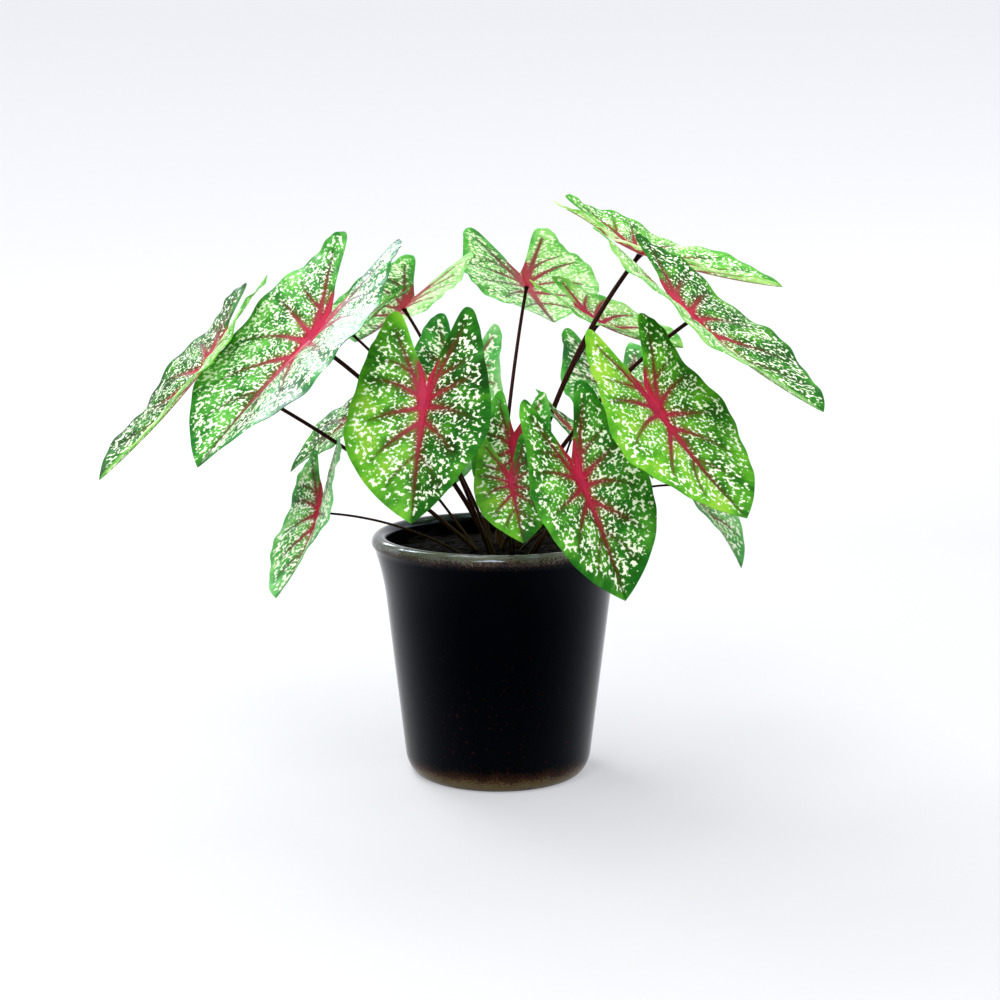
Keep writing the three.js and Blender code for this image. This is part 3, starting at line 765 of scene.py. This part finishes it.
def blade_mesh(leaf):
    """Both faces of both halves, joined along the midrib and round the rim.

    Returns the points, the triangles, the unmerged point that each corner came from, the values
    of each point, the coordinates of each unmerged point, and 1 for the points of the under face.
    """
    halves = [half_blade(leaf, side) for side in (1, -1)]
    count = len(halves[0]["local"])
    top = np.vstack([h["local"] for h in halves])
    local = np.vstack([top, top - [0, 0, BLADE_THICKNESS]])
    rows = halves[0]["rows"]
    grid = np.arange(count).reshape(rows, BLADE_COLUMNS)
    cells = grid_faces(rows, BLADE_COLUMNS)
    under = 2 * count
    faces = [cells[:, ::-1], cells + count, cells + under, cells[:, ::-1] + under + count]
    lobe = LOBE_ROWS + 1
    for start, flip in ((0, 1), (count, -1)):
        for edge, turn in ((grid[:, -1], -1), (grid[:lobe, 0], 1)):
            a, b = edge[:-1] + start, edge[1:] + start
            rim = np.stack([a, b, b + under, a + under], -1)
            faces.append(rim[:, ::flip * turn])
    faces = np.vstack(faces)
    triangles = np.vstack([faces[:, [0, 1, 2]], faces[:, [0, 2, 3]]])
    merged, back = np.unique(np.round(local, 4), axis=0, return_index=True, return_inverse=True)[1:]
    corner_source = triangles
    triangles = back.ravel()[triangles]
    whole = (triangles != np.roll(triangles, 1, axis=1)).all(1)
    values = {
        key: np.tile(np.concatenate([h[key] for h in halves]), 2)[merged]
        for key in ("vein", "reach", "margin", "green", "cool_and_sheen")}
    flows = {key: np.tile(np.vstack([h[key] for h in halves]), (2, 1)) for key in ("flat", "flow")}
    points = (local[merged] @ leaf_turn(leaf).T + np.array(leaf["at"])) / 1000
    below = (np.arange(len(local)) >= under).astype(float)[merged]
    return points, triangles[whole], corner_source[whole], values, flows, below


# Each leaf's two halves, left of the midrib and right of it. The first two numbers are how
# light their green is, from 0, deep, through 0.7, yellow-green, to 1.1, pale, where light
# floods through and the veins turn pink. They are set half by half to how bright each half
# looks under the lamps, so they are partly the leaf's own tone and partly painted light and
# shade: the pale values paint the glow of halves lit from behind. The last two are how bluish,
# waxy and splashed they are; the bluish tone is partly a painted sheen on halves that catch a
# grazing reflection.
GREENS_AND_PAINTED_LIGHT = {
    "far_left": (0.75, 0.2, 0.3, 0.0), "high_left": (0.28, 0.5, 1.0, 0.5),
    "front_left": (0.22, 0.6, 0, 0), "back_left": (0.6, 1.1, 1.0, 0.9),
    "left": (0.4, 0.4, 0.2, 0.2), "low_left": (0.5, 0.32, 0.3, 0.1),
    "hanging_left": (0.65, 0.65, 1.0, 0.7), "inner_left": (0.8, 0.42, 0.9, 0.6),
    "back": (0.62, 0.93, 0.75, 0.85), "back_right": (0.9, 0.8, 0.5, 0.4),
    "high_right": (0.65, 1.1, 0.3, 0.3), "right": (0.32, 0.8, 0.05, 0.5),
    "front_right": (0.45, 0.7, 0, 0), "front_low": (0.35, 0.45, 0.25, 0.15),
    "small_front": (0.3, 0.7, 0, 0), "small_behind": (0.7, 0.6, 0.6, 0.5),
    "small_right": (0.5, 0.5, 0.5, 0.5), "inner_right": (0.7, 0.5, 0.7, 0.6),
    "low_right": (0.75, 0.7, 0.8, 0.8),
}


def caladium_tissue():
    """Living leaf: satin green tissue that glows where light shines through it.

    It is crimson along the veins, splashed with cream where it holds no chlorophyll, a little
    paler underneath, and waxy on the bluish leaves. Painted light is mixed into its colour: a
    highlight down the veins' core, a glow on the halves lit from behind, where the veins turn
    pink, and part of a sheen on the bluish halves.
    """
    material, tree, out = new_material("caladium_leaf_tissue")
    flat = add_node(tree, "UVMap", uv_map="flat").outputs[0]
    flow = add_node(tree, "Attribute", attribute_name="flow").outputs["Vector"]
    vein = add_node(tree, "Attribute", attribute_name="vein").outputs["Fac"]
    reach = add_node(tree, "Attribute", attribute_name="reach").outputs["Fac"]
    margin = add_node(tree, "Attribute", attribute_name="margin").outputs["Fac"]
    under = add_node(tree, "Attribute", attribute_name="under").outputs["Fac"]
    green = add_node(tree, "Attribute", attribute_name="green").outputs["Fac"]
    cool_and_sheen = add_node(tree, "Attribute", attribute_name="cool_and_sheen").outputs["Fac"]

    # Green ground: patches of 15 mm, and ribs 1.5 mm wide and 8 mm long that run with the side
    # veins. It is darker over the 5 mm beside a vein.
    patches = add_node(tree, "TexNoise", {
        "Vector": flow, "Scale": 0.07, "Detail": 2.0}, noise_dimensions="2D")
    patches = add_node(tree, "MapRange", {0: patches.outputs[0], 1: 0.3, 2: 0.7, 3: -0.24, 4: 0.22})
    ribbed = add_node(tree, "Mapping", {0: flow, 3: (0.12, 0.7, 1.0)})
    ribs = add_node(tree, "TexNoise", {
        "Vector": ribbed.outputs[0], "Scale": 1.0, "Detail": 2.0}, noise_dimensions="2D")
    ribs = add_node(tree, "MapRange", {0: ribs.outputs[0], 1: 0.3, 2: 0.7, 3: -0.06, 4: 0.06})
    beside = add_node(tree, "MapRange", {0: vein, 1: 0.0, 2: 5.0, 3: -0.14, 4: 0.06})
    tone = add_node(tree, "Math", {0: patches.outputs[0], 1: ribs.outputs[0]}, operation="ADD")
    tone = add_node(tree, "Math", {0: tone.outputs[0], 1: beside.outputs[0]}, operation="ADD")
    # The per-half green value, partly painted light and shade, lifts or lowers the tone.
    tone = add_node(tree, "Math", {0: tone.outputs[0], 1: green}, operation="ADD")
    tone = add_node(tree, "MapRange", {0: tone.outputs[0], 1: 0.0, 2: 1.4, 3: 0.0, 4: 1.0})
    # The palest stops of both ramps are painted light: the glow of halves lit from behind.
    warm_green = add_node(tree, "ValToRGB", {0: tone.outputs[0]})
    set_stops(warm_green, [
        (0.0, "#0F400D"), (0.25, "#267520"), (0.5, "#6DBB35"), (0.72, "#ABD24A"), (1.0, "#DCEBB6")])
    cool_green = add_node(tree, "ValToRGB", {0: tone.outputs[0]})
    set_stops(cool_green, [
        (0.0, "#06401F"), (0.25, "#1A8036"), (0.5, "#58BC62"), (0.72, "#A3DCA0"), (1.0, "#DFF3D8")])
    # The mix towards the bluish ramp is partly the leaf's own hue and partly a painted sheen.
    ground = add_node(tree, "Mix", {
        0: cool_and_sheen, 6: warm_green.outputs[0], 7: cool_green.outputs[0]}, data_type="RGBA").outputs[2]

    # Crimson veins that turn to rust and then to green where they run out, with a rose core that
    # is a painted highlight down them, fading as they turn to rust.
    # Their edges are fuzzy over 2 mm, and a reddish tint fades over 5 mm of the tissue beside
    # them. On the pale halves, whose paleness is partly painted light shining through from behind,
    # they are painted pink and drawn wider, as veins look with light behind them.
    ramp = add_node(tree, "ValToRGB", {0: reach})
    set_stops(ramp, [
        (0.0, "#86122E"), (0.15, "#C01A42"), (0.3, "#B4243E"), (0.45, "#A83C46"), (0.6, "#8E3C34"),
        (0.78, "#6E4428"), (0.92, "#545420"), (1.0, "#3F6E24")])
    # Painted highlight: a lighter rose core down the veins, fading as they turn to rust.
    painted_highlight_core = add_node(tree, "MapRange", {0: vein, 1: -1.2, 2: -0.2, 3: 0.4, 4: 0.0})
    fresh = add_node(tree, "MapRange", {0: reach, 1: 0.3, 2: 0.8, 3: 1.0, 4: 0.0})
    painted_highlight_core = add_node(tree, "Math", {0: painted_highlight_core.outputs[0], 1: fresh.outputs[0]}, operation="MULTIPLY")
    red = add_node(tree, "Mix", {
        0: painted_highlight_core.outputs[0], 6: ramp.outputs[0], 7: linear("#DA4C6C")}, data_type="RGBA")
    # Painted light: on the pale halves lit from behind, the veins turn pink and, below, look wider.
    painted_backlit_blush = add_node(tree, "MapRange", {0: green, 1: 0.6, 2: 1.0, 3: 0.0, 4: 0.6})
    red = add_node(tree, "Mix", {
        0: painted_backlit_blush.outputs[0], 6: red.outputs[2], 7: linear("#D0406A")}, data_type="RGBA")
    fuzz = add_node(tree, "TexNoise", {
        "Vector": flat, "Scale": 0.9, "Detail": 2.0}, noise_dimensions="2D")
    blurred = add_node(tree, "Math", {0: fuzz.outputs[0], 1: 0.5, 2: vein}, operation="MULTIPLY_ADD")
    blurred = add_node(tree, "Math", {
        0: painted_backlit_blush.outputs[0], 1: -1.0, 2: blurred.outputs[0]}, operation="MULTIPLY_ADD")
    in_vein = add_node(tree, "MapRange", {
        0: blurred.outputs[0], 1: -0.4, 2: 1.4, 3: 1.0, 4: 0.0}, interpolation_type="SMOOTHSTEP")
    halo = add_node(tree, "MapRange", {
        0: blurred.outputs[0], 1: -0.5, 2: 5.0, 3: 0.75, 4: 0.0}, interpolation_type="SMOOTHSTEP")
    fading = add_node(tree, "MapRange", {0: reach, 1: 0.3, 2: 0.95, 3: 1.0, 4: 0.1})
    halo = add_node(tree, "Math", {0: halo.outputs[0], 1: fading.outputs[0]}, operation="MULTIPLY")
    shaded = add_node(tree, "Mix", {
        0: halo.outputs[0], 6: ground, 7: red.outputs[2]}, data_type="RGBA")

    # Cream splashes in a fresh green rim: ragged dots and dashes 1 to 3 mm across that gather
    # in clusters of 7 mm and stay off the margin.
    drawn = add_node(tree, "Mapping", {0: flow, 3: (0.52, 0.62, 1.0)})
    splash = add_node(tree, "TexNoise", {
        "Vector": drawn.outputs[0], "Scale": 1.0, "Detail": 2.0, "Roughness": 0.5, "Distortion": 0.1},
        noise_dimensions="2D")
    cluster = add_node(tree, "TexNoise", {
        "Vector": flow, "Scale": 0.15, "Detail": 1.0}, noise_dimensions="2D")
    off_margin = add_node(tree, "MapRange", {0: margin, 1: 1.0, 2: 4.5, 3: 0.20, 4: 0.0})
    off_vein = add_node(tree, "MapRange", {0: vein, 1: 0.0, 2: 1.5, 3: 0.06, 4: 0.0})
    limit = add_node(tree, "Math", {
        0: off_margin.outputs[0], 1: off_vein.outputs[0]}, operation="ADD")
    limit = add_node(tree, "Math", {
        0: cluster.outputs[0], 1: -0.34, 2: limit.outputs[0]}, operation="MULTIPLY_ADD")
    limit = add_node(tree, "Math", {
        0: cool_and_sheen, 1: -0.065, 2: limit.outputs[0]}, operation="MULTIPLY_ADD")
    over = add_node(tree, "Math", {0: splash.outputs[0], 1: limit.outputs[0]}, operation="SUBTRACT")
    cream = add_node(tree, "MapRange", {0: over.outputs[0], 1: 0.754, 2: 0.769, 3: 0.0, 4: 1.0})
    rim = add_node(tree, "MapRange", {0: over.outputs[0], 1: 0.722, 2: 0.757, 3: 0.0, 4: 0.75})
    rimmed = add_node(tree, "Mix", {
        0: rim.outputs[0], 6: shaded.outputs[2], 7: linear("#C4F08C")}, data_type="RGBA")
    speckled = add_node(tree, "Mix", {
        0: cream.outputs[0], 6: rimmed.outputs[2], 7: linear("#FFFFF2")}, data_type="RGBA")
    upper = add_node(tree, "Mix", {
        0: in_vein.outputs[0], 6: speckled.outputs[2], 7: red.outputs[2]}, data_type="RGBA")
    pale = add_node(tree, "Math", {0: under, 1: 0.12}, operation="MULTIPLY")
    colour = add_node(tree, "Mix", {
        0: pale.outputs[0], 6: upper.outputs[2], 7: linear("#8FB877")}, data_type="RGBA")

    # A soft sheen over bumps drawn 1 mm across so that they show. Half of the light passes
    # through the tissue instead, yellow-green where it isn't cream or red.
    grain = add_node(tree, "TexNoise", {
        "Vector": flat, "Scale": 1.1, "Detail": 2.0}, noise_dimensions="2D")
    bump = add_node(tree, "Bump", {"Height": grain.outputs[0], "Strength": 0.25, "Distance": 0.0006})
    waxy = add_node(tree, "MapRange", {0: cool_and_sheen, 1: 0.5, 2: 1.0, 3: 0.08, 4: 0.68})
    face = add_node(tree, "BsdfPrincipled", {
        "Base Color": colour.outputs[2], "Roughness": 0.32, "IOR": 1.45,
        "Specular IOR Level": waxy.outputs[0], "Specular Tint": linear("#DDEBFF"),
        "Normal": bump.outputs[0]})
    not_green = add_node(tree, "Math", {
        0: cream.outputs[0], 1: in_vein.outputs[0]}, operation="MAXIMUM")
    lit = add_node(tree, "MapRange", {0: not_green.outputs[0], 1: 0.0, 2: 1.0, 3: 0.25, 4: 0.0})
    lit = add_node(tree, "Mix", {
        0: lit.outputs[0], 6: colour.outputs[2], 7: linear("#B8F03C")}, data_type="RGBA")
    shine = add_node(tree, "BsdfTranslucent", {"Color": lit.outputs[2]})
    mixed = add_node(tree, "MixShader", {0: 0.5, 1: face.outputs[0], 2: shine.outputs[0]})
    tree.links.new(mixed.outputs[0], out.inputs[0])
    return material


leaf_material = caladium_tissue()
for name, leaf in leaves.items():
    points, triangles, source, values, flows, under = blade_mesh(leaf)
    blade = piece(f"leaf_{name}", points, triangles, leaf_material)
    mesh = blade.data
    for key, numbers in dict(values, under=under).items():
        layer = mesh.attributes.new(key, "FLOAT", "POINT")
        layer.data.foreach_set("value", numbers.astype(np.float32))
    flat_map = mesh.uv_layers.new(name="flat")
    flat_map.data.foreach_set("uv", flows["flat"][source.ravel()].astype(np.float32).ravel())
    # A second map for baking: the upper face on the left of the square, the under face right.
    below = (source >= len(flows["flat"]) // 2).all(1)[:, None]
    spot = flows["flat"][source] / leaf["front"]
    sheet = np.stack([0.25 + 0.39 * spot[..., 1] + 0.5 * below, 0.45 + 0.52 * spot[..., 0]], -1)
    mesh.uv_layers.new(name="OFBake").data.foreach_set("uv", sheet.astype(np.float32).ravel())
    flow = flows["flow"][source.ravel()]
    flow = np.hstack([flow, np.zeros((len(flow), 1))]).astype(np.float32)
    mesh.attributes.new("flow", "FLOAT_VECTOR", "CORNER").data.foreach_set("vector", flow.ravel())
    mesh.set_sharp_from_angle(angle=math.radians(50))
    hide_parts(f"blade_{name}")
    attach(blade, "root")
